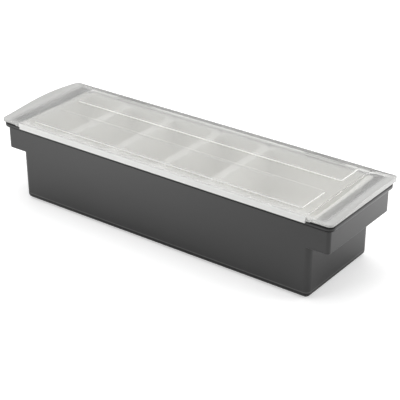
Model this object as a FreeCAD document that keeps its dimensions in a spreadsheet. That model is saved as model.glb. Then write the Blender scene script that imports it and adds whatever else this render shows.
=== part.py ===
import FreeCAD, Part
import Sketcher
import math
import operator
import os
from types import SimpleNamespace

# Driving sizes in millimetres. X runs along the holder, Y from front to back, Z up from the table.
sizes = {
    # Housing
    "rim_length": 500.0,            # over the rim, end to end
    "rim_width": 145.2,             # over the rim, front to back
    "rim_depth": 8.6,               # height of the rolled rim
    "rim_overhang": 4.3,            # rim beyond the walls under it
    "rim_top_radius": 2.2,          # rounding of the rim's upper outer edge
    "rim_low_radius": 3.4,          # rounding of the rim's lower outer edge
    "body_height": 105.0,           # base underside to rim top
    "wing_depth": 38.4,             # rim top to the underside of the stepped-out ends
    "wing_overhang": 24.5,          # stepped-out end beyond the trough below it
    "wing_edge_radius": 1.4,        # rounding of the step's lower edge
    "wing_inside_radius": 1.6,      # upright corners inside the stepped-out ends
    "trough_inside_radius": 4.0,    # upright corners inside the trough, at its floor
    "floor_inside_radius": 3.7,     # floor to wall, inside
    "housing_wall": 2.5,
    "housing_floor": 2.5,
    "wall_draft_share": 0.009,      # how far walls lean out, as a share of their height
    "seat_drop": 3.8,               # rim top down to the ledge that carries the inserts
    "seat_width": 3.6,              # width of that ledge
    # Inserts
    "insert_end_margin": 25.6,      # rim end to the row of inserts
    "insert_gap": 0.5,              # free space between neighbouring flanges
    "insert_depth": 70.0,           # flange top to the underside
    "insert_wall": 1.8,
    "insert_flange": 1.8,           # flange thickness
    "insert_flange_width": 3.4,     # flange beyond the side walls
    "insert_flange_radius": 5.0,    # flange corners
    "insert_inside_radius": 5.0,    # upright corners inside, at the floor
    "insert_floor_radius": 4.0,     # floor to wall, inside
    "insert_draft_share": 0.096,
    "insert_clearance": 0.3,        # flange edge to the recess round it
    "insert_side_clearance": 0.5,   # insert wall to housing wall, at the ledge
    # Lid
    "lid_wall": 2.0,
    "lid_gap": 0.2,                 # rim top to the lid's underside
    "lid_rise": 5.7,                # rim top to the top of the flat panel
    "lid_edge_radius": 1.5,         # rounding round the flat panel
    "lid_end_margin": 33.0,         # rim end to the flat panel
    "lid_slope_run": 6.6,           # length of the slope from the panel to the end scoop
    "lid_end_reach": 0.6,           # lid end beyond the rim, at the rim
    "lid_back_reach": 4.6,          # lid back beyond the rim
    "lid_corner_radius": 7.0,
    "skirt_clearance": 1.3,         # rim to the inside of the front skirt
    "skirt_drop": 2.9,              # rim top to the lower edge of the front skirt
    "scoop_flat": 1.5,              # level floor of the end scoop
    "lip_edge": 2.0,                # width of the grip lip's upper edge
    "lip_lean": 1.6,                # how far the lip leans out, half way back
    "lip_corner_lean": 0.6,         # the same at the lid's corners
    "lip_front_rise": 2.7,          # rim top to the lip's edge, at the lid's front corner
    "lip_quarter_rise": 5.5,        # the same a quarter of the way back
    "lip_middle_rise": 8.4,         # half way back
    "lip_rear_rise": 8.3,           # three quarters of the way back
    "lip_back_rise": 5.5,           # at the lid's back corner
    "scoop_back_depth": 0.6,        # lip's edge to the scoop's floor, at the lid's back corner
    "emboss_rise": 1.6,             # height of the two raised panels
    "emboss_inside_radius": 1.6,    # their corners in plan, seen from below
    "emboss_edge_radius": 0.7,      # rounding of their upper edges
    "emboss_end_margin": 12.5,      # flat panel's end to the raised panels
    "emboss_front_margin": 14.1,    # lid front to the front raised panel
    "emboss_front_width": 51.4,
    "emboss_back_margin": 11.6,      # lid back to the rear raised panel
    "emboss_back_width": 41.5,
    # Hinge
    "hinge_inset": 100.0,           # rim end to the middle of a hinge
    "hinge_setback": 4.2,           # rim to the hinge axis
    "hinge_drop": 4.4,              # rim top to the hinge axis
    "pin_radius": 1.5,
    "pin_chamfer": 0.3,
    "pin_seat_clearance": 0.02,     # pin to its seat in the housing's ears
    "pin_run_clearance": 0.06,      # pin to the lid's knuckle, which turns on it
    "knuckle_wall": 2.1,            # plastic round the pin
    "knuckle_length": 30.0,
    "ear_length": 12.0,
    "hinge_play": 0.4,              # between a knuckle and the ear beside it
    # Feet
    "foot_stand": 1.2,              # how far the feet hold the base off the table
    "foot_recess": 1.0,             # depth of the recess that each foot sits in
    "foot_radius": 7.0,
    "foot_clearance": 0.2,
    "foot_edge_radius": 0.5,
    "foot_inset_length": 25.0,      # base end to a foot's centre
    "foot_inset_width": 17.0,       # base front or back to a foot's centre
    # Cuts run this far past the faces they open
    "overrun": 5.0,
}
insert_places = (1, 1, 1, 1, 2)     # places in the row that each insert fills, from left to right
place_count = sum(insert_places)
near = 0.001                        # edges closer to a level than this lie on it
sides = {"left": -1, "right": 1}
ends = {"front": -1, "rear": 1}


class Size:
    # A number together with the sheet expression that gives it

    def __init__(self, value, text):
        self.value = value
        self.text = text

    def combine(self, sign, work, other):
        if not isinstance(other, Size):
            other = Size(other, repr(other))
        return Size(work(self.value, other.value), f"({self.text} {sign} {other.text})")

    def __add__(self, other):
        return self.combine("+", operator.add, other)

    def __sub__(self, other):
        return self.combine("-", operator.sub, other)

    def __mul__(self, other):
        return self.combine("*", operator.mul, other)

    def __truediv__(self, other):
        return self.combine("/", operator.truediv, other)

    def __neg__(self):
        return Size(-self.value, f"(-{self.text})")

    def lean_angle(self):
        # The angle in degrees of a wall that leans by this share of its height
        return Size(math.degrees(math.atan(self.value)), f"atan({self.text})")


doc = FreeCAD.newDocument("BarCondimentHolder")
sheet = doc.addObject("Spreadsheet::Sheet", "Sizes")
for row, (alias, value) in enumerate(sizes.items(), start=1):
    sheet.set(f"A{row}", alias)
    sheet.set(f"B{row}", str(value))
    sheet.setAlias(f"B{row}", alias)
doc.recompute()
cell = SimpleNamespace(**{alias: Size(value, f"Sizes.{alias}") for alias, value in sizes.items()})

# Levels, half sizes and places that several pieces share
base_low = cell.foot_stand
rim_top = base_low + cell.body_height
rim_low = rim_top - cell.rim_depth
wing_low = rim_top - cell.wing_depth
floor_top = base_low + cell.housing_floor
wing_floor = wing_low + cell.housing_floor
seat_top = rim_top - cell.seat_drop
half_rim_length = cell.rim_length / 2
half_rim_width = cell.rim_width / 2
half_wing_length = half_rim_length - cell.rim_overhang
half_wall_width = half_rim_width - cell.rim_overhang
half_recess_width = half_wall_width - cell.housing_wall + cell.seat_width
barrel_radius = cell.pin_radius + cell.knuckle_wall
hinge_y = half_rim_width + cell.hinge_setback
hinge_z = rim_top - cell.hinge_drop
half_hinge = cell.knuckle_length / 2 + cell.hinge_play + cell.ear_length
station = half_rim_length - cell.hinge_inset
place_length = (cell.rim_length - cell.insert_end_margin * 2) / place_count
lid_front = half_rim_width + cell.skirt_clearance
skirt_front = lid_front + cell.lid_wall
lid_back = half_rim_width + cell.lid_back_reach

# Sketches are centred on the rim. The bodies are shifted so that skirt and hinge reach equally far.
depth_shift = (skirt_front - hinge_y - barrel_radius) / 2


def bind(item, name, size):
    item.setExpression(name, size.text)


def new_body(label):
    body = doc.addObject("PartDesign::Body", label)
    body.Label = label
    bind(body, "Placement.Base.y", depth_shift)
    return body


def origin_plane(body, role):
    return next(item for item in body.Origin.OriginFeatures if item.Role == role)


def sketch_on(body, name, role, offset=None):
    sketch = body.newObject("Sketcher::SketchObject", name)
    sketch.AttachmentSupport = (origin_plane(body, role), [""])
    sketch.MapMode = "FlatFace"
    if offset is not None:
        bind(sketch, "AttachmentOffset.Base.z", offset)
    return sketch


def hold(sketch, name, kind, places, size):
    number = sketch.addConstraint(Sketcher.Constraint(kind, *places, size.value))
    sketch.renameConstraint(number, name)
    bind(sketch, f"Constraints.{name}", size)


def pin_point(sketch, edge, point, place):
    for axis, size in zip("XY", place):
        places = (-1, 1, edge, point)
        if size.value < 0:
            places = (edge, point, -1, 1)
            size = -size
        hold(sketch, f"{axis.lower()}_{edge}_{point}", "Distance" + axis, places, size)


def vector(place):
    return FreeCAD.Vector(place[0].value, place[1].value, 0)


def outline(body, name, level, half_length, half_width, radius, middle=None):
    # A rounded rectangle seen from above, centred end to end
    sketch = sketch_on(body, name, "XY_Plane", level)
    if middle is not None:
        bind(sketch, "AttachmentOffset.Base.y", middle)
    long, wide, bend = half_length.value, half_width.value, radius.value
    turns = [(1, -1, -90), (1, 1, 0), (-1, 1, 90), (-1, -1, 180)]
    starts = [(bend - long, -wide), (long, bend - wide), (long - bend, wide), (-long, wide - bend)]
    stops = [(long - bend, -wide), (long, wide - bend), (bend - long, wide), (-long, bend - wide)]
    for start, stop, (x_side, y_side, angle) in zip(starts, stops, turns):
        sketch.addGeometry(Part.LineSegment(FreeCAD.Vector(*start, 0), FreeCAD.Vector(*stop, 0)), False)
        centre = FreeCAD.Vector(x_side * (long - bend), y_side * (wide - bend), 0)
        circle = Part.Circle(centre, FreeCAD.Vector(0, 0, 1), bend)
        arc = Part.ArcOfCircle(circle, math.radians(angle), math.radians(angle + 90))
        sketch.addGeometry(arc, False)
    edges = 2 * len(turns)
    for edge in range(edges):
        sketch.addConstraint(Sketcher.Constraint("Tangent", edge, 2, (edge + 1) % edges, 1))
    for edge, kind in ((0, "Horizontal"), (2, "Vertical"), (4, "Horizontal"), (6, "Vertical")):
        sketch.addConstraint(Sketcher.Constraint(kind, edge))
    for arc in (3, 5, 7):
        sketch.addConstraint(Sketcher.Constraint("Equal", 1, arc))
    hold(sketch, "front", "DistanceY", (0, 1, -1, 1), half_width)
    hold(sketch, "right", "DistanceX", (-1, 1, 2, 1), half_length)
    hold(sketch, "back", "DistanceY", (-1, 1, 4, 1), half_width)
    hold(sketch, "left", "DistanceX", (6, 1, -1, 1), half_length)
    hold(sketch, "bend", "Radius", (1,), radius)
    return sketch


def chain(body, name, role, offset, corners, arcs=None):
    # A closed outline through its corners. An edge that is an arc has its centre and radius in arcs.
    sketch = sketch_on(body, name, role, offset)
    arcs = arcs or {}
    count = len(corners)
    points = [vector(corner) for corner in corners]
    first_end = []
    for edge, start in enumerate(points):
        stop = points[(edge + 1) % count]
        line = Part.LineSegment(start, stop)
        turn = 1
        if edge in arcs:
            centre, radius = arcs[edge]
            spokes = [start - vector(centre), stop - vector(centre)]
            turn = spokes[0].cross(spokes[1]).z
            if turn < 0:
                spokes.reverse()
            circle = Part.Circle(vector(centre), FreeCAD.Vector(0, 0, 1), radius.value)
            line = Part.ArcOfCircle(circle, *(math.atan2(spoke.y, spoke.x) for spoke in spokes))
        sketch.addGeometry(line, False)
        first_end.append(1 if turn > 0 else 2)
    for edge, corner in enumerate(corners):
        following = (edge + 1) % count
        meeting = (edge, 3 - first_end[edge], following, first_end[following])
        sketch.addConstraint(Sketcher.Constraint("Coincident", *meeting))
        pin_point(sketch, edge, first_end[edge], corner)
    for edge, (centre, radius) in arcs.items():
        hold(sketch, f"bend_{edge}", "Radius", (edge,), radius)
    return sketch


def circles(body, name, role, offset, places, radius):
    sketch = sketch_on(body, name, role, offset)
    for number, place in enumerate(places):
        sketch.addGeometry(Part.Circle(vector(place), FreeCAD.Vector(0, 0, 1), radius.value), False)
        pin_point(sketch, number, 3, place)
        hold(sketch, f"radius_{number}", "Radius", (number,), radius)
    return sketch


def loft(body, name, sections):
    feature = body.newObject("PartDesign::AdditiveLoft", name)
    feature.Profile = (sections[0], [""])
    feature.Sections = [(section, [""]) for section in sections[1:]]
    return feature


def extrude(body, name, kind, sketch, length, backwards=False, lean=None):
    feature = body.newObject("PartDesign::" + kind, name)
    feature.Profile = (sketch, [""])
    feature.Reversed = backwards
    bind(feature, "Length", length)
    if lean is not None:
        bind(feature, "TaperAngle", lean.lean_angle())
    return feature


def pad(body, name, sketch, length, lean=None):
    return extrude(body, name, "Pad", sketch, length, lean=lean)


def cut(body, name, sketch, length, upwards=False, lean=None):
    # A cut has to take material away
    doc.recompute()
    before = body.Shape.Volume
    feature = extrude(body, name, "Pocket", sketch, length, upwards, lean)
    check_less(body, name, before)
    return feature


def check_less(body, name, before):
    doc.recompute()
    if body.Shape.Volume >= before:
        raise RuntimeError(f"{name} cuts nothing")


def soften(body, name, kind, dimension, size, chosen):
    doc.recompute()
    base = body.Tip
    feature = body.newObject("PartDesign::" + kind, name)
    edges = enumerate(base.Shape.Edges, start=1)
    feature.Base = (base, [f"Edge{number}" for number, edge in edges if chosen(edge)])
    bind(feature, dimension, size)
    return feature


def fillet(body, name, radius, chosen):
    return soften(body, name, "Fillet", "Radius", radius, chosen)


def mirrored(body, name, features):
    # The same features again at the other end
    feature = body.newObject("PartDesign::Mirrored", name)
    feature.Originals = features
    feature.MirrorPlane = (origin_plane(body, "YZ_Plane"), [""])
    body.Tip = feature
    return feature


def mirrored_cut(body, name, features):
    before = body.Shape.Volume
    mirrored(body, name, features)
    check_less(body, name, before)


def at_level(edge, level):
    box = edge.BoundBox
    return max(abs(box.ZMin - level.value), abs(box.ZMax - level.value)) < near


def runs_outside(edge, half_length, half_width):
    # True for an edge that keeps outside a rectangle seen from above
    middle = edge.valueAt((edge.FirstParameter + edge.LastParameter) / 2)
    return abs(middle.x) > half_length.value or abs(middle.y) > half_width.value


def barrel(body, name, offset, first_angle, root, upright):
    # A half round about the hinge axis, running straight on to its root
    sketch = sketch_on(body, name, "YZ_Plane", offset)
    centre = vector((hinge_y, hinge_z))
    circle = Part.Circle(centre, FreeCAD.Vector(0, 0, 1), barrel_radius.value)
    arc = Part.ArcOfCircle(circle, math.radians(first_angle), math.radians(first_angle + 180))

    def at_root(point):
        return FreeCAD.Vector(point.x, root.value, 0) if upright else FreeCAD.Vector(root.value, point.y, 0)

    stops = [arc.EndPoint, at_root(arc.EndPoint), at_root(arc.StartPoint), arc.StartPoint]
    sketch.addGeometry(arc, False)
    for start, stop in zip(stops, stops[1:]):
        sketch.addGeometry(Part.LineSegment(start, stop), False)
    sketch.addConstraint(Sketcher.Constraint("Tangent", 0, 2, 1, 1))
    sketch.addConstraint(Sketcher.Constraint("Coincident", 1, 2, 2, 1))
    sketch.addConstraint(Sketcher.Constraint("Coincident", 2, 2, 3, 1))
    sketch.addConstraint(Sketcher.Constraint("Tangent", 3, 2, 0, 1))
    along, across = ("Vertical", "Horizontal") if upright else ("Horizontal", "Vertical")
    for edge, kind in ((1, along), (2, across), (3, along)):
        sketch.addConstraint(Sketcher.Constraint(kind, edge))
    pin_point(sketch, 0, 3, (hinge_y, hinge_z))
    hold(sketch, "round", "Radius", (0,), barrel_radius)
    hold(sketch, "root", "DistanceY" if upright else "DistanceX", (-1, 1, 2, 1), root)
    return sketch


def wall_run(height):
    return height * cell.wall_draft_share


def wall_half_width(level):
    # Outer face of the front and back walls, which lean out towards the rim
    return half_wall_width - wall_run(rim_low - level)


half_wing_low = half_wing_length - wall_run(rim_low - wing_low)
half_trough_top = half_wing_low - cell.wing_overhang
half_base = half_trough_top - wall_run(wing_low - base_low)


def make_housing():
    body = new_body("housing")
    wall = cell.housing_wall
    lean = cell.wall_draft_share
    wing_radius = cell.wing_inside_radius + wall

    # Stepped-out ends, trough and rim as solid blocks
    wing = outline(body, "WingOutline", wing_low, half_wing_low, wall_half_width(wing_low), wing_radius)
    pad(body, "Wings", wing, rim_low - wing_low, lean)
    fillet(body, "WingEdge", cell.wing_edge_radius, lambda edge: at_level(edge, wing_low))
    trough = outline(body, "TroughOutline", base_low, half_base, wall_half_width(base_low),
                     cell.trough_inside_radius + wall)
    pad(body, "Trough", trough, rim_low - base_low, lean)
    fillet(body, "BaseEdge", cell.floor_inside_radius + wall, lambda edge: at_level(edge, base_low))
    rim = outline(body, "RimOutline", rim_low, half_rim_length, half_rim_width,
                  wing_radius + cell.rim_overhang)
    pad(body, "Rim", rim, cell.rim_depth)
    fillet(body, "RimTop", cell.rim_top_radius, lambda edge: at_level(edge, rim_top))
    fillet(body, "RimLow", cell.rim_low_radius,
           lambda edge: at_level(edge, rim_low) and runs_outside(edge, half_wing_length, half_wall_width))

    # Hollow trough, hollow ends and the ledge for the inserts
    hollow_run = wall_run(cell.housing_floor)
    hollow = outline(body, "HollowOutline", floor_top, half_base + hollow_run - wall,
                     wall_half_width(floor_top) - wall, cell.trough_inside_radius + hollow_run)
    cut(body, "TroughHollow", hollow, seat_top - floor_top, upwards=True, lean=lean)
    fillet(body, "FloorEdge", cell.floor_inside_radius, lambda edge: at_level(edge, floor_top))
    ends_hollow = outline(body, "EndsHollowOutline", wing_floor, half_wing_low + hollow_run - wall,
                          wall_half_width(wing_floor) - wall, cell.wing_inside_radius + hollow_run)
    cut(body, "EndsHollow", ends_hollow, seat_top - wing_floor, upwards=True, lean=lean)
    recess = outline(body, "RecessOutline", seat_top, half_wing_length - wall + cell.seat_width,
                     half_recess_width, cell.wing_inside_radius + cell.seat_width)
    cut(body, "SeatRecess", recess, cell.seat_drop, upwards=True)

    # Ears behind the rim for the hinge pins
    ear_root = half_rim_width - cell.rim_overhang / 2
    ears = []
    for name, start in (("Inner", station - half_hinge), ("Outer", station + half_hinge - cell.ear_length)):
        ear = barrel(body, f"Ear{name}Outline", start, -90, ear_root, upright=False)
        ears.append(pad(body, f"Ear{name}", ear, cell.ear_length))
    mirrored(body, "EarsLeft", ears)
    seat = circles(body, "PinSeatOutline", "YZ_Plane", station + half_hinge + cell.overrun,
                   [(hinge_y, hinge_z)], cell.pin_radius + cell.pin_seat_clearance)
    pin_seat = cut(body, "PinSeat", seat, (half_hinge + cell.overrun) * 2)
    mirrored_cut(body, "PinSeatLeft", [pin_seat])

    # Recesses for the feet
    recesses = circles(body, "FootRecessOutline", "XY_Plane", base_low, foot_places.values(),
                       cell.foot_radius + cell.foot_clearance)
    cut(body, "FootRecess", recesses, cell.foot_recess, upwards=True)
    return body


def make_insert(number):
    body = new_body(f"insert_{number}")
    places = insert_places[number - 1]
    places_before = sum(insert_places[:number - 1])
    bind(body, "Placement.Base.x", place_length * (places_before + places / 2 - place_count / 2))
    wall = cell.insert_wall
    lean = cell.insert_draft_share
    flange_top = seat_top + cell.insert_flange
    bottom = flange_top - cell.insert_depth
    half_flange = (place_length * places - cell.insert_gap) / 2
    half_length = half_flange - cell.insert_flange_width
    half_width = half_wall_width - cell.housing_wall - cell.insert_side_clearance

    outside_run = cell.insert_depth * lean
    outside = outline(body, "OutsideOutline", bottom, half_length - outside_run, half_width - outside_run,
                      cell.insert_inside_radius + wall)
    pad(body, "Outside", outside, cell.insert_depth, lean)
    fillet(body, "OutsideEdge", cell.insert_floor_radius + wall, lambda edge: at_level(edge, bottom))
    flange = outline(body, "FlangeOutline", seat_top, half_flange, half_recess_width - cell.insert_clearance,
                     cell.insert_flange_radius)
    pad(body, "Flange", flange, cell.insert_flange)
    inside_depth = cell.insert_depth - wall
    inside_run = inside_depth * lean + wall
    inside = outline(body, "InsideOutline", bottom + wall, half_length - inside_run, half_width - inside_run,
                     cell.insert_inside_radius)
    cut(body, "Inside", inside, inside_depth, upwards=True, lean=lean)
    fillet(body, "InsideEdge", cell.insert_floor_radius, lambda edge: at_level(edge, bottom + wall))
    return body


def make_lid():
    body = new_body("lid")
    wall = cell.lid_wall
    lid_low = rim_top + cell.lid_gap
    scoop_floor = lid_low + wall
    panel_top = rim_top + cell.lid_rise
    half_panel = half_rim_length - cell.lid_end_margin
    slope_foot = half_panel + cell.lid_slope_run
    lid_end = half_rim_length + cell.lid_end_reach

    # Flat panel with sloping ends
    pan = chain(body, "PanOutline", "XZ_Plane", -lid_back,
                [(-slope_foot, lid_low), (slope_foot, lid_low), (slope_foot, scoop_floor),
                 (half_panel, panel_top), (-half_panel, panel_top), (-slope_foot, scoop_floor)])
    pad(body, "Pan", pan, lid_back + skirt_front)
    fillet(body, "PanEdge", cell.lid_edge_radius, lambda edge: at_level(edge, panel_top))

    # Scooped ends, each with a grip lip that arches up. The scoop fades out to the back.
    def lip_section(name, way_share, rise):
        offset = lid_front - (lid_front + lid_back) * way_share
        arch_share = way_share * (1 - way_share) * 4
        lean = cell.lip_corner_lean + (cell.lip_lean - cell.lip_corner_lean) * arch_share
        fade = cell.lip_back_rise - cell.scoop_back_depth - cell.lid_gap - wall
        floor = scoop_floor + fade * (way_share * way_share)
        flat_end = slope_foot + cell.scoop_flat
        tip = lid_end + lean - cell.lip_edge
        top = rim_top + rise
        across = tip - flat_end
        up = top - floor
        bend = (across * across + up * up) / (up * 2)
        corners = [(flat_end, floor), (tip, top), (lid_end + lean, top), (lid_end, lid_low),
                   (half_panel, lid_low), (half_panel, floor)]
        return chain(body, name, "XZ_Plane", offset, corners, {0: ((flat_end, floor + bend), bend)})

    lip_rises = {"Front": cell.lip_front_rise, "Quarter": cell.lip_quarter_rise,
                 "Middle": cell.lip_middle_rise, "Rear": cell.lip_rear_rise, "Back": cell.lip_back_rise}
    steps = len(lip_rises) - 1
    lip = loft(body, "LipRight", [lip_section(f"Lip{name}", number / steps, rise)
                                  for number, (name, rise) in enumerate(lip_rises.items())])
    mirrored(body, "LipLeft", [lip])

    # Rounded corners in plan
    bend = cell.lid_corner_radius
    corner_x = lid_end + cell.lip_corner_lean
    past_x = corner_x + cell.overrun
    corner_cuts = []
    for name, edge_y, inwards in (("Front", -lid_front, 1), ("Back", lid_back, -1)):
        inner_y = edge_y + bend * inwards
        past_y = edge_y - cell.overrun * inwards
        corners = [(corner_x, inner_y), (past_x, inner_y), (past_x, past_y), (corner_x - bend, past_y),
                   (corner_x - bend, edge_y)]
        sketch = chain(body, f"Corner{name}Outline", "XY_Plane", lid_low - cell.overrun, corners,
                       {4: ((corner_x - bend, inner_y), bend)})
        height = cell.lip_middle_rise + cell.overrun * 2
        corner_cuts.append(cut(body, f"Corner{name}", sketch, height, upwards=True))
    mirrored_cut(body, "CornersLeft", corner_cuts)

    # Hollow under the panel, and the skirt in front of the rim
    hollow = chain(body, "HollowOutline", "XZ_Plane", lid_front,
                   [(-slope_foot, lid_low - cell.overrun), (slope_foot, lid_low - cell.overrun),
                    (slope_foot, lid_low), (half_panel, panel_top - wall),
                    (-half_panel, panel_top - wall), (-slope_foot, lid_low)])
    cut(body, "PanHollow", hollow, lid_front + lid_back - wall)
    skirt = chain(body, "SkirtOutline", "XZ_Plane", lid_front,
                  [(-half_panel, rim_top - cell.skirt_drop), (half_panel, rim_top - cell.skirt_drop),
                   (half_panel, scoop_floor), (-half_panel, scoop_floor)])
    pad(body, "Skirt", skirt, wall)

    # Two raised panels, hollow below
    for name, front_y, width in (
            ("Front", cell.emboss_front_margin - skirt_front, cell.emboss_front_width),
            ("Back", lid_back - cell.emboss_back_margin - cell.emboss_back_width, cell.emboss_back_width)):
        half_length = half_panel - cell.emboss_end_margin
        half_width = width / 2
        middle = front_y + half_width
        raised = outline(body, f"Raised{name}Outline", panel_top, half_length, half_width,
                         cell.emboss_inside_radius + wall, middle)
        pad(body, f"Raised{name}", raised, cell.emboss_rise)
        under = outline(body, f"Under{name}Outline", panel_top - wall, half_length - wall, half_width - wall,
                        cell.emboss_inside_radius, middle)
        cut(body, f"Under{name}", under, cell.emboss_rise, upwards=True)
    fillet(body, "RaisedEdge", cell.emboss_edge_radius,
           lambda edge: at_level(edge, panel_top + cell.emboss_rise))

    # Knuckles that turn on the hinge pins
    half_knuckle = cell.knuckle_length / 2
    knuckle = barrel(body, "KnuckleOutline", station - half_knuckle, 180, scoop_floor, upright=True)
    mirrored(body, "KnuckleLeft", [pad(body, "Knuckle", knuckle, cell.knuckle_length)])
    bore = circles(body, "PinBoreOutline", "YZ_Plane", station + half_knuckle + cell.overrun,
                   [(hinge_y, hinge_z)], cell.pin_radius + cell.pin_run_clearance)
    pin_bore = cut(body, "PinBore", bore, cell.knuckle_length + cell.overrun * 2)
    mirrored_cut(body, "PinBoreLeft", [pin_bore])
    return body


def make_pin(side):
    body = new_body(f"hinge_pin_{side}")
    start = station * sides[side] - half_hinge
    round_bar = circles(body, "PinOutline", "YZ_Plane", start, [(hinge_y, hinge_z)], cell.pin_radius)
    pad(body, "Pin", round_bar, half_hinge * 2)
    soften(body, "PinEnds", "Chamfer", "Size", cell.pin_chamfer, lambda edge: edge.isClosed())
    return body


def make_foot(name, place):
    body = new_body(f"foot_{name}")
    disc = circles(body, "FootOutline", "XY_Plane", None, [place], cell.foot_radius)
    pad(body, "Foot", disc, cell.foot_stand + cell.foot_recess)
    fillet(body, "FootEdge", cell.foot_edge_radius, lambda edge: abs(edge.BoundBox.ZMax) < near)
    return body


# Centres of the feet, set in from the base's outer faces
foot_x = half_base - cell.foot_inset_length
foot_y = wall_half_width(base_low) - cell.foot_inset_width
foot_places = {f"{end}_{side}": (foot_x * sides[side], foot_y * ends[end]) for end in ends for side in sides}

bodies = [make_housing(), make_lid()]
bodies += [make_insert(number) for number in range(1, len(insert_places) + 1)]
bodies += [make_pin(side) for side in sides]
bodies += [make_foot(name, place) for name, place in foot_places.items()]
doc.recompute()
for item in doc.Objects:
    if "Invalid" in item.State or "Error" in item.State:
        raise RuntimeError(f"{item.Label} did not build")
for body in bodies:
    if body.Shape.isNull() or not body.Shape.isValid():
        raise RuntimeError(f"{body.Label} has no valid solid")
os.makedirs("parts", exist_ok=True)
for body in bodies:
    body.Shape.exportStep(f"parts/{body.Label}.step")
    print(body.Label, len(body.Shape.Solids), "solid", round(body.Shape.Volume), "mm3")
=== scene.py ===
import bpy
import math
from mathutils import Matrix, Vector


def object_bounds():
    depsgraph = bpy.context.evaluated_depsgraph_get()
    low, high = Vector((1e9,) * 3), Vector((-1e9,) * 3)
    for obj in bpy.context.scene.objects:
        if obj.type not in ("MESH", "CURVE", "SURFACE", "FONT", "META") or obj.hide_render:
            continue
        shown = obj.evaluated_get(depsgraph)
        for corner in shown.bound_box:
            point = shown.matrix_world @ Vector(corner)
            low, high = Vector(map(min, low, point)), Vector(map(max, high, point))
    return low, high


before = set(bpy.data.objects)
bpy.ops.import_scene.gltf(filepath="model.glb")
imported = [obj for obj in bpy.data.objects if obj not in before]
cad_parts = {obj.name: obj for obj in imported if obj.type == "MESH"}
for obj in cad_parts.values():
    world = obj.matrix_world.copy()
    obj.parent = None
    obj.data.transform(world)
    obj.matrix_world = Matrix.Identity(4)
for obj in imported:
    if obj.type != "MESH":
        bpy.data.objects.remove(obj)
cadLow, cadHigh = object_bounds()
bpy.ops.object.select_all(action="DESELECT")     # the frame's nodes come in selected
print("frame loaded,", len(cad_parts), "nodes")

mmPerMetre = 1000
noiseSpan = {"From Min": 0.3, "From Max": 0.7}     # most of a noise texture's values lie between these


def linear(hexColour):     # sRGB hex to the linear colour that a shader takes
    channels = [int(hexColour[at:at + 2], 16) / 255 for at in (1, 3, 5)]
    return [c / 12.92 if c <= 0.04045 else ((c + 0.055) / 1.055) ** 2.4 for c in channels] + [1.0]


def metres(sizeMm):
    return sizeMm / mmPerMetre


def perMetre(sizeMm):      # texture scale that makes a pattern's cells this many millimetres wide
    return mmPerMetre / sizeMm


def addNode(tree, kind, inputs=(), **settings):     # a socket in inputs is linked, anything else is set
    node = tree.nodes.new("ShaderNode" + kind)
    for name, value in settings.items():
        setattr(node, name, value)
    sockets = {socket.identifier: socket for socket in node.inputs}
    for name, value in dict(inputs).items():
        if isinstance(value, bpy.types.NodeSocket):
            tree.links.new(value, sockets[name])
        else:
            sockets[name].default_value = value
    return {socket.identifier: socket for socket in node.outputs}


def emptyMaterial(name):
    material = bpy.data.materials.new(name)
    material.use_nodes = True
    material.node_tree.nodes.clear()
    return material


def dress(names, material):     # gives frame nodes their finish
    for name in names:
        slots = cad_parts[name].data.materials
        slots.clear()
        slots.append(material)


# Housing
housingLook = {
    # 6c6c6c is the tone of a painted highlight line where the walls turn under
    "deep": "#292929", "pale": "#2f2f2f", "scuffed": "#444444", "paintedHighlight": "#6c6c6c",
    "cloudMm": 90, "satin": 0.28, "dull": 0.33, "ior": 1.53, "gloss": 0.5,
    "grainMm": 1.1, "grainDepthMm": 0.02, "grainStrength": 0.5,
    "scuffMm": 7, "scuffRiseMm": 9, "scuffFrom": 0.56, "scuffFull": 0.74, "scuffing": 0.5,
    "highlightLineMm": 8.8, "highlightHalfMm": 0.9, "highlightStrength": 0.7,     # the height of the painted highlight line
    "rimFromMm": 97.6, "rollMm": 99.8, "rollEndMm": 101.0,     # heights on the rim, for the painted shade
    "gapFromMm": 102.0, "gapToMm": 103.6, "shaded": 0.2,
    "rimFrontMm": -69, "rimClearMm": -64,     # along Y
    "tuckedMm": 7.4, "turnMm": 8.2, "tucked": 0.62,     # heights of the painted shade on the base edge
}


def housingColour(tree, place, spot, cloud):     # cloudy charcoal, paler where it is scuffed, with a painted highlight line where the walls turn under
    look = housingLook
    scuff = addNode(tree, "TexNoise", {
        "Vector": place["Object"], "Scale": perMetre(look["scuffMm"]), "Detail": 6.0})["Fac"]
    marks = addNode(tree, "MapRange", {
        "Value": scuff, "From Min": look["scuffFrom"], "From Max": look["scuffFull"],
        "To Min": 0.0, "To Max": look["scuffing"]})["Result"]
    nearBase = addNode(tree, "MapRange", {      # handling marks stay near the base
        "Value": spot["Z"], "From Min": cadLow.z, "From Max": cadLow.z + metres(look["scuffRiseMm"]),
        "To Min": 1.0, "To Max": 0.0})["Result"]
    worn = addNode(tree, "Math", {"Value": nearBase, "Value_001": marks}, operation="MULTIPLY")["Value"]
    aboveTurn = addNode(tree, "Math", {
        "Value": spot["Z"], "Value_001": metres(look["highlightLineMm"])}, operation="SUBTRACT")["Value"]
    offTurn = addNode(tree, "Math", {"Value": aboveTurn}, operation="ABSOLUTE")["Value"]
    paintedHighlight = addNode(tree, "MapRange", {        # painted highlight: a pale line where the walls turn under
        "Value": offTurn, "From Max": metres(look["highlightHalfMm"]),
        "To Min": look["highlightStrength"], "To Max": 0.0})["Result"]
    colour = linear(look["deep"])
    for amount, tone in ((cloud, "pale"), (worn, "scuffed"), (paintedHighlight, "paintedHighlight")):
        colour = addNode(tree, "Mix", {
            "Factor_Float": amount, "A_Color": colour, "B_Color": linear(look[tone])},
            data_type="RGBA")["Result_Color"]
    return colour


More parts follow.
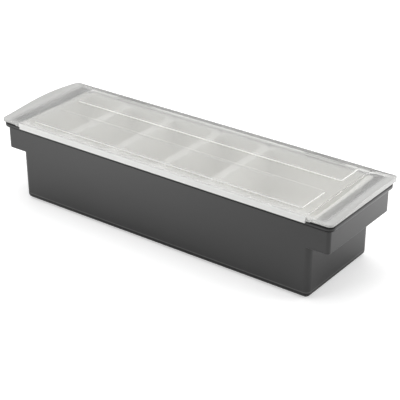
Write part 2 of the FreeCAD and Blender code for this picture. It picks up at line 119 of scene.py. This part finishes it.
def housingShade(tree, place, spot):     # painted shade: 1 in the open, less in the gap under the lid and at the base edge
    look = housingLook
    front = addNode(tree, "MapRange", {
        "Value": spot["Y"], "From Min": metres(look["rimFrontMm"]), "From Max": metres(look["rimClearMm"]),
        "To Min": 1.0, "To Max": 0.0})["Result"]
    onRim = addNode(tree, "Math", {
        "Value": spot["Z"], "Value_001": metres(look["rimFromMm"])}, operation="GREATER_THAN")["Value"]
    onRoll = addNode(tree, "MapRange", {        # only the lower half of the rolled rim
        "Value": spot["Z"], "From Min": metres(look["rollMm"]), "From Max": metres(look["rollEndMm"]),
        "To Min": 1.0, "To Max": 0.0})["Result"]
    rimFront = addNode(tree, "Math", {"Value": front, "Value_001": onRim}, operation="MULTIPLY")["Value"]
    rimFront = addNode(tree, "Math", {
        "Value": rimFront, "Value_001": onRoll}, operation="MULTIPLY")["Value"]
    nearLid = addNode(tree, "MapRange", {
        "Value": spot["Z"], "From Min": metres(look["gapFromMm"]),
        "From Max": metres(look["gapToMm"])})["Result"]
    inGap = addNode(tree, "Math", {"Value": rimFront, "Value_001": nearLid}, operation="MAXIMUM")["Value"]
    upright = addNode(tree, "SeparateXYZ", {"Vector": place["Normal"]})["Z"]
    faceUp = addNode(tree, "Math", {"Value": upright, "Value_001": 0.0}, operation="MAXIMUM")["Value"]
    inGap = addNode(tree, "Math", {     # the rim's top keeps its colour, for when the lid is open
        "Value": inGap, "Value_001": faceUp}, operation="SUBTRACT")["Value"]
    gapShade = addNode(tree, "MapRange", {     # painted shade: the rim's edge lies in the dark gap under the lid
        "Value": inGap, "To Min": 1.0, "To Max": look["shaded"]})["Result"]
    edgeShade = addNode(tree, "MapRange", {     # and painted shade on the rounded base edge, for the holder's own shadow
        "Value": spot["Z"], "From Min": metres(look["tuckedMm"]), "From Max": metres(look["turnMm"]),
        "To Min": look["tucked"], "To Max": 1.0})["Result"]
    return addNode(tree, "Math", {
        "Value": gapShade, "Value_001": edgeShade}, operation="MULTIPLY")["Value"]


def makeHousingPlastic():
    # ABS moulded against a spark-eroded tool: an even charcoal with a soft sheen and a very fine grain.
    # The tool's grain is about 0.1 mm, too fine to show, so it is drawn about ten times as coarse.
    look = housingLook
    material = emptyMaterial("charcoal_abs_satin")
    tree = material.node_tree
    place = addNode(tree, "TexCoord")
    spot = addNode(tree, "SeparateXYZ", {"Vector": place["Object"]})
    cloud = addNode(tree, "TexNoise", {
        "Vector": place["Object"], "Scale": perMetre(look["cloudMm"]), "Detail": 3.0})["Fac"]
    grain = addNode(tree, "TexNoise", {
        "Vector": place["Object"], "Scale": perMetre(look["grainMm"]), "Detail": 2.0})["Fac"]
    colour = housingColour(tree, place, spot, cloud)
    shade = housingShade(tree, place, spot)
    colour = addNode(tree, "VectorMath", {"Vector": colour, "Scale": shade}, operation="SCALE")["Vector"]
    # the painted shade also lowers the gloss
    gloss = addNode(tree, "Math", {
        "Value": shade, "Value_001": look["gloss"]}, operation="MULTIPLY")["Value"]
    sheen = addNode(tree, "MapRange", {
        "Value": cloud, **noiseSpan, "To Min": look["satin"], "To Max": look["dull"]})["Result"]
    bump = addNode(tree, "Bump", {
        "Height": grain, "Strength": look["grainStrength"], "Distance": metres(look["grainDepthMm"])})
    shader = addNode(tree, "BsdfPrincipled", {
        "Base Color": colour, "Roughness": sheen, "IOR": look["ior"], "Specular IOR Level": gloss,
        "Normal": bump["Normal"]})
    addNode(tree, "OutputMaterial", {"Surface": shader["BSDF"]})
    return material


dress(["housing"], makeHousingPlastic())
print("housing dressed")

# Lid
lidLook = {
    # c6c6c4 is painted shade on the grip lips and the back edge
    "milk": "#efefed", "clear": "#f7f7f5", "lipShadeGrey": "#c6c6c4", "veil": 0.86,
    "flowMm": 60, "fine": 0.21, "coarse": 0.27, "ior": 1.49,
    "frostMm": 1.4, "frostDepthMm": 0.012, "frostStrength": 0.3,
    "panelEndMm": 217.3, "slopeMm": 218.5, "scoopEndMm": 236, "lipMm": 249,     # from the middle
    "backFromMm": 66, "backToMm": 68, "stripMm": -64, "bendMm": -72,     # along Y
    "steepLevel": 0.35, "flatLevel": 0.75, "dimLevel": 0.85,     # 1 is a level face, 0 an upright one
    "flatThrough": 0.88, "edgeThrough": 0.08, "lipThrough": 0.12, "stripThrough": 0.7, "litThrough": 0.97,
    # the raised steps get a painted highlight through emission
    "stepFromMm": 111.98, "paintedStepGlow": 0.35,
}


def lidZones(tree, place):     # how near a spot is to the lips and the back, and how level its face is
    look = lidLook
    spot = addNode(tree, "SeparateXYZ", {"Vector": place["Object"]})
    fromMiddle = addNode(tree, "Math", {"Value": spot["X"]}, operation="ABSOLUTE")["Value"]
    nearLip = addNode(tree, "MapRange", {
        "Value": fromMiddle, "From Min": metres(look["scoopEndMm"]),
        "From Max": metres(look["lipMm"])})["Result"]
    atBack = addNode(tree, "MapRange", {
        "Value": spot["Y"], "From Min": metres(look["backFromMm"]),
        "From Max": metres(look["backToMm"])})["Result"]
    pastPanel = addNode(tree, "MapRange", {
        "Value": fromMiddle, "From Min": metres(look["panelEndMm"]),
        "From Max": metres(look["slopeMm"])})["Result"]
    thin = addNode(tree, "Math", {      # the end scoops and the back wall are as clear as the panel
        "Value": pastPanel, "Value_001": atBack}, operation="MAXIMUM")["Value"]
    tilt = addNode(tree, "SeparateXYZ", {"Vector": place["Normal"]})["Z"]
    level = addNode(tree, "Math", {"Value": tilt}, operation="ABSOLUTE")["Value"]
    level = addNode(tree, "Math", {"Value": level, "Value_001": thin}, operation="MAXIMUM")["Value"]
    flat = addNode(tree, "MapRange", {
        "Value": level, "From Min": look["steepLevel"], "From Max": look["flatLevel"]})["Result"]
    return {"spot": spot, "nearLip": nearLip, "atBack": atBack, "level": level, "flat": flat}


def lidColour(tree, flow, zones):
    look = lidLook
    lipAndBackShade = addNode(tree, "Math", {     # painted shade: the grip lips and the back edge are greyed
        "Value": zones["nearLip"], "Value_001": zones["atBack"]}, operation="MAXIMUM")["Value"]
    colour = linear(look["milk"])
    for amount, tone in ((flow, "clear"), (lipAndBackShade, "lipShadeGrey")):
        colour = addNode(tree, "Mix", {
            "Factor_Float": amount, "A_Color": colour, "B_Color": linear(look[tone])},
            data_type="RGBA")["Result_Color"]
    veil = addNode(tree, "MapRange", {     # what is seen through the flat stretches is a little dimmed
        "Value": zones["flat"], "To Min": 1.0, "To Max": look["veil"]})["Result"]
    return addNode(tree, "VectorMath", {"Vector": colour, "Scale": veil}, operation="SCALE")["Vector"]


def lidClearness(tree, zones):     # share of the light that comes through
    look = lidLook
    towardsBend = addNode(tree, "MapRange", {     # milkier where the panel bends into the front skirt
        "Value": zones["spot"]["Y"],
        "From Min": metres(look["stripMm"]), "From Max": metres(look["bendMm"]),
        "To Min": look["flatThrough"], "To Max": look["stripThrough"]})["Result"]
    towardsLip = addNode(tree, "MapRange", {
        "Value": zones["nearLip"], "To Min": towardsBend, "To Max": look["lipThrough"]})["Result"]
    return addNode(tree, "MapRange", {
        "Value": zones["flat"], "To Min": look["edgeThrough"], "To Max": towardsLip})["Result"]


def lidPaintedStepGlow(tree, zones):     # painted highlight: the raised steps glow, standing in for light that runs inside the plastic and comes out there
    look = lidLook
    steep = addNode(tree, "MapRange", {
        "Value": zones["level"], "From Min": look["steepLevel"], "From Max": look["dimLevel"],
        "To Min": look["paintedStepGlow"], "To Max": 0.0})["Result"]
    raised = addNode(tree, "Math", {
        "Value": zones["spot"]["Z"], "Value_001": metres(look["stepFromMm"])},
        operation="GREATER_THAN")["Value"]
    return addNode(tree, "Math", {"Value": steep, "Value_001": raised}, operation="MULTIPLY")["Value"]


def lampsThrough(tree, plastic, zones):     # lamps reach the inserts through the lid
    look = lidLook
    path = addNode(tree, "LightPath")
    lighting = addNode(tree, "Math", {
        "Value": path["Is Shadow Ray"], "Value_001": path["Is Diffuse Ray"]},
        operation="MAXIMUM")["Value"]
    lit = addNode(tree, "MapRange", {
        "Value": zones["flat"], "To Min": look["edgeThrough"], "To Max": look["litThrough"]})["Result"]
    passing = addNode(tree, "BsdfTransparent", {"Color": lit})["BSDF"]
    return addNode(tree, "MixShader", {
        "Fac": lighting, "Shader": plastic, "Shader_001": passing})["Shader"]


def makeLidPlastic():
    # Polypropylene with a frosted face: a milky veil, soft shine, and shapes below blur with their depth.
    # Steps, edges and the grip lips are seen through more plastic, so they look whiter than the panel; the
    # raised steps also get a painted highlight, and the grip lips and the back edge a painted grey shade.
    # The frost is about 0.05 mm, too fine to show, so it is drawn much coarser and very shallow.
    look = lidLook
    material = emptyMaterial("frosted_polypropylene")
    tree = material.node_tree
    place = addNode(tree, "TexCoord")
    flow = addNode(tree, "TexNoise", {
        "Vector": place["Object"], "Scale": perMetre(look["flowMm"]), "Detail": 2.0})["Fac"]
    frost = addNode(tree, "TexNoise", {
        "Vector": place["Object"], "Scale": perMetre(look["frostMm"]), "Detail": 2.0})["Fac"]
    zones = lidZones(tree, place)
    haze = addNode(tree, "MapRange", {
        "Value": flow, **noiseSpan, "To Min": look["fine"], "To Max": look["coarse"]})["Result"]
    bump = addNode(tree, "Bump", {
        "Height": frost, "Strength": look["frostStrength"], "Distance": metres(look["frostDepthMm"])})
    plastic = addNode(tree, "BsdfPrincipled", {
        "Base Color": lidColour(tree, flow, zones), "Roughness": haze, "IOR": look["ior"],
        "Normal": bump["Normal"], "Transmission Weight": lidClearness(tree, zones),
        "Emission Color": linear(look["clear"]), "Emission Strength": lidPaintedStepGlow(tree, zones)})["BSDF"]
    addNode(tree, "OutputMaterial", {"Surface": lampsThrough(tree, plastic, zones)})
    return material


dress(["lid"], makeLidPlastic())
print("lid dressed")

# Inserts
insertLook = {
    "shade": "#e4e3de", "white": "#efeeea", "cloudMm": 45, "smooth": 0.28, "dull": 0.36, "ior": 1.49,
    "grainMm": 1.5, "grainDepthMm": 0.01, "grainStrength": 0.3,
}


def makeInsertPlastic():
    # Food-grade polypropylene, moulded smooth: a warm white with a soft, slightly uneven shine.
    look = insertLook
    material = emptyMaterial("white_polypropylene")
    tree = material.node_tree
    place = addNode(tree, "TexCoord")["Object"]
    cloud = addNode(tree, "TexNoise", {
        "Vector": place, "Scale": perMetre(look["cloudMm"]), "Detail": 3.0})["Fac"]
    grain = addNode(tree, "TexNoise", {
        "Vector": place, "Scale": perMetre(look["grainMm"]), "Detail": 2.0})["Fac"]
    colour = addNode(tree, "Mix", {
        "Factor_Float": cloud, "A_Color": linear(look["shade"]), "B_Color": linear(look["white"])},
        data_type="RGBA")["Result_Color"]
    shine = addNode(tree, "MapRange", {
        "Value": cloud, **noiseSpan, "To Min": look["smooth"], "To Max": look["dull"]})["Result"]
    bump = addNode(tree, "Bump", {
        "Height": grain, "Strength": look["grainStrength"], "Distance": metres(look["grainDepthMm"])})
    shader = addNode(tree, "BsdfPrincipled", {
        "Base Color": colour, "Roughness": shine, "IOR": look["ior"], "Normal": bump["Normal"]})
    addNode(tree, "OutputMaterial", {"Surface": shader["BSDF"]})
    return material


dress([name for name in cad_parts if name.startswith("insert_")], makeInsertPlastic())
print("inserts dressed")

# Hinge pins
pinLook = {
    "bright": "#cfcdc8", "grey": "#a9a8a5", "lineMm": 0.25, "lineLengthMm": 12,
    "polished": 0.2, "drawn": 0.38,
}


def makePinSteel():
    # Stainless wire, drawn through a die: fine bright lines that run along the pin.
    look = pinLook
    material = emptyMaterial("drawn_stainless_steel")
    tree = material.node_tree
    place = addNode(tree, "TexCoord")["Object"]
    stretched = addNode(tree, "Mapping", {
        "Vector": place, "Scale": [look["lineMm"] / look["lineLengthMm"], 1.0, 1.0]})["Vector"]
    lines = addNode(tree, "TexNoise", {
        "Vector": stretched, "Scale": perMetre(look["lineMm"]), "Detail": 2.0})["Fac"]
    colour = addNode(tree, "Mix", {
        "Factor_Float": lines, "A_Color": linear(look["grey"]), "B_Color": linear(look["bright"])},
        data_type="RGBA")["Result_Color"]
    shine = addNode(tree, "MapRange", {
        "Value": lines, **noiseSpan, "To Min": look["polished"], "To Max": look["drawn"]})["Result"]
    shader = addNode(tree, "BsdfPrincipled", {"Base Color": colour, "Roughness": shine, "Metallic": 1.0})
    addNode(tree, "OutputMaterial", {"Surface": shader["BSDF"]})
    return material


dress([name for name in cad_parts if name.startswith("hinge_pin_")], makePinSteel())
print("hinge pins dressed")

# Feet
footLook = {
    "black": "#1a1a1a", "dusty": "#2b2a29", "soft": 0.7, "dry": 0.85,
    "grainMm": 0.8, "grainDepthMm": 0.04, "grainStrength": 0.6,
}


def makeFootRubber():
    # Moulded black rubber: matt, with a fine pebbled face that picks up a little dust.
    look = footLook
    material = emptyMaterial("black_rubber_matt")
    tree = material.node_tree
    place = addNode(tree, "TexCoord")["Object"]
    grain = addNode(tree, "TexNoise", {
        "Vector": place, "Scale": perMetre(look["grainMm"]), "Detail": 3.0})["Fac"]
    colour = addNode(tree, "Mix", {
        "Factor_Float": grain, "A_Color": linear(look["black"]), "B_Color": linear(look["dusty"])},
        data_type="RGBA")["Result_Color"]
    dryness = addNode(tree, "MapRange", {
        "Value": grain, **noiseSpan, "To Min": look["soft"], "To Max": look["dry"]})["Result"]
    bump = addNode(tree, "Bump", {
        "Height": grain, "Strength": look["grainStrength"], "Distance": metres(look["grainDepthMm"])})
    shader = addNode(tree, "BsdfPrincipled", {
        "Base Color": colour, "Roughness": dryness, "Normal": bump["Normal"]})
    addNode(tree, "OutputMaterial", {"Surface": shader["BSDF"]})
    return material


dress([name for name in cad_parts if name.startswith("foot_")], makeFootRubber())
print("feet dressed")

# Studio floor and surrounding light
studio = {
    "floorSide": 12.0, "floorDropMm": 0.1, "floorWhite": "#ececec", "floorGlow": 0.42,     # side in metres
    "ovalShares": (0.4, 1.0, 0.0), "nearMm": 80, "farMm": 260, "mirrored": 1.0,
    "slantAxis": (0.707, -0.707, 0.0), "brightestMm": 30, "plainMm": 45, "dimMm": 290, "dim": 0.1,
    "surround": "#ffffff", "seenStrength": 1.0, "lightStrength": 0.45,
}


def seenDirectly(tree):     # 1 for rays that show the surface itself, also through the lid
    path = addNode(tree, "LightPath")
    return addNode(tree, "Math", {
        "Value": path["Is Camera Ray"], "Value_001": path["Is Transmission Ray"]},
        operation="MAXIMUM")["Value"]


def paintedFloorInReflections(tree):     # painted shadow and painted pool of light: how bright the paper looks to rays that the holder's gloss sends out
    place = addNode(tree, "TexCoord")["Object"]
    oval = addNode(tree, "VectorMath", {
        "Vector": place, "Vector_001": studio["ovalShares"]}, operation="MULTIPLY")["Vector"]
    away = addNode(tree, "VectorMath", {"Vector": oval}, operation="LENGTH")["Value"]
    mirrored = addNode(tree, "MapRange", {      # a painted shadow: it darkens close to the holder
        "Value": away, "From Min": metres(studio["nearMm"]), "From Max": metres(studio["farMm"]),
        "To Min": 0.0, "To Max": studio["mirrored"]})["Result"]
    slant = addNode(tree, "VectorMath", {
        "Vector": place, "Vector_001": studio["slantAxis"]}, operation="DOT_PRODUCT")["Value"]
    offBright = addNode(tree, "Math", {
        "Value": slant, "Value_001": metres(studio["brightestMm"])}, operation="SUBTRACT")["Value"]
    aside = addNode(tree, "Math", {"Value": offBright}, operation="ABSOLUTE")["Value"]
    dimmed = addNode(tree, "MapRange", {        # and a painted pool of light: dimmer off the band that the lamps light most
        "Value": aside, "From Min": metres(studio["plainMm"]), "From Max": metres(studio["dimMm"]),
        "To Min": 1.0, "To Max": studio["dim"]})["Result"]
    mirrored = addNode(tree, "Math", {
        "Value": mirrored, "Value_001": dimmed}, operation="MULTIPLY")["Value"]
    glossy = addNode(tree, "LightPath")["Is Glossy Ray"]
    return addNode(tree, "Math", {"Value": mirrored, "Value_001": glossy}, operation="MULTIPLY")["Value"]


def makeFloor():
    floorZ = cadLow.z - metres(studio["floorDropMm"])
    bpy.ops.mesh.primitive_plane_add(size=studio["floorSide"], location=(0, 0, floorZ))
    floor = bpy.context.object
    floor.name = "studio_floor"
    material = emptyMaterial("white_paper_sweep")     # plain paper that keeps the shadow
    tree = material.node_tree
    paper = addNode(tree, "BsdfDiffuse", {"Color": linear(studio["floorWhite"])})["BSDF"]
    shown = addNode(tree, "Math", {
        "Value": seenDirectly(tree), "Value_001": studio["floorGlow"]}, operation="MULTIPLY")["Value"]
    level = addNode(tree, "Math", {
        "Value": shown, "Value_001": paintedFloorInReflections(tree)}, operation="MAXIMUM")["Value"]
    glow = addNode(tree, "Emission", {"Strength": level})["Emission"]
    both = addNode(tree, "AddShader", {"Shader": paper, "Shader_001": glow})["Shader"]
    addNode(tree, "OutputMaterial", {"Surface": both})
    floor.data.materials.append(material)


def makeSurround():
    world = bpy.data.worlds.new("soft_white_surround")
    bpy.context.scene.world = world
    world.use_nodes = True
    tree = world.node_tree
    tree.nodes.clear()
    seen = addNode(tree, "Background", {
        "Color": linear(studio["surround"]), "Strength": studio["seenStrength"]})
    light = addNode(tree, "Background", {
        "Color": linear(studio["surround"]), "Strength": studio["lightStrength"]})
    glossy = addNode(tree, "LightPath")["Is Glossy Ray"]
    shown = addNode(tree, "Math", {
        "Value": seenDirectly(tree), "Value_001": glossy}, operation="MAXIMUM")["Value"]
    both = addNode(tree, "MixShader", {
        "Fac": shown, "Shader": light["Background"], "Shader_001": seen["Background"]})["Shader"]
    addNode(tree, "OutputWorld", {"Surface": both})


makeFloor()
makeSurround()
print("studio set")

# Softboxes, each aimed at the middle of the holder, with places and sides in metres
softboxes = {
    "overhead_softbox": {"place": (-0.15, 0.15, 1.35), "side": 1.3, "watts": 11.0, "mirrored": True},
    "front_softbox": {"place": (-0.8, -1.4, 0.9), "side": 1.0, "watts": 8.5, "mirrored": False},
    "right_softbox": {"place": (1.2, 0.7, 0.35), "side": 0.9, "watts": 10.0, "mirrored": False},
}
aim = Vector((0.0, 0.0, 0.05))
for name, box in softboxes.items():
    lamp = bpy.data.lights.new(name, "AREA")
    lamp.size = box["side"]
    lamp.energy = box["watts"]
    holder = bpy.data.objects.new(name, lamp)
    bpy.context.collection.objects.link(holder)
    holder.location = box["place"]
    holder.visible_glossy = box["mirrored"]     # the side lamps would glare on the flat lid
    holder.rotation_euler = (aim - holder.location).to_track_quat("-Z", "Y").to_euler()
print("lamps set")

# Camera, at the photograph's angle, in degrees and metres
view = {
    "azimuth": 36.565, "elevation": 26.971, "distance": 1.5500, "target": (0.0258, -0.01421, 0.04813),
    "sensorMm": 36.0, "lensMm": 112.07,
}


def makeCamera():
    camera = bpy.data.objects.new("photo_camera", bpy.data.cameras.new("photo_camera"))
    bpy.context.collection.objects.link(camera)
    across, up = math.radians(view["azimuth"]), math.radians(view["elevation"])
    back = Vector((math.cos(up) * math.sin(across), -math.cos(up) * math.cos(across), math.sin(up)))
    camera.location = Vector(view["target"]) + back * view["distance"]
    camera.rotation_euler = (-back).to_track_quat("-Z", "Y").to_euler()
    camera.data.sensor_width = view["sensorMm"]
    camera.data.lens = view["lensMm"]
    bpy.context.scene.camera = camera


makeCamera()
bpy.context.scene.view_settings.view_transform = "Standard"
print("camera set")
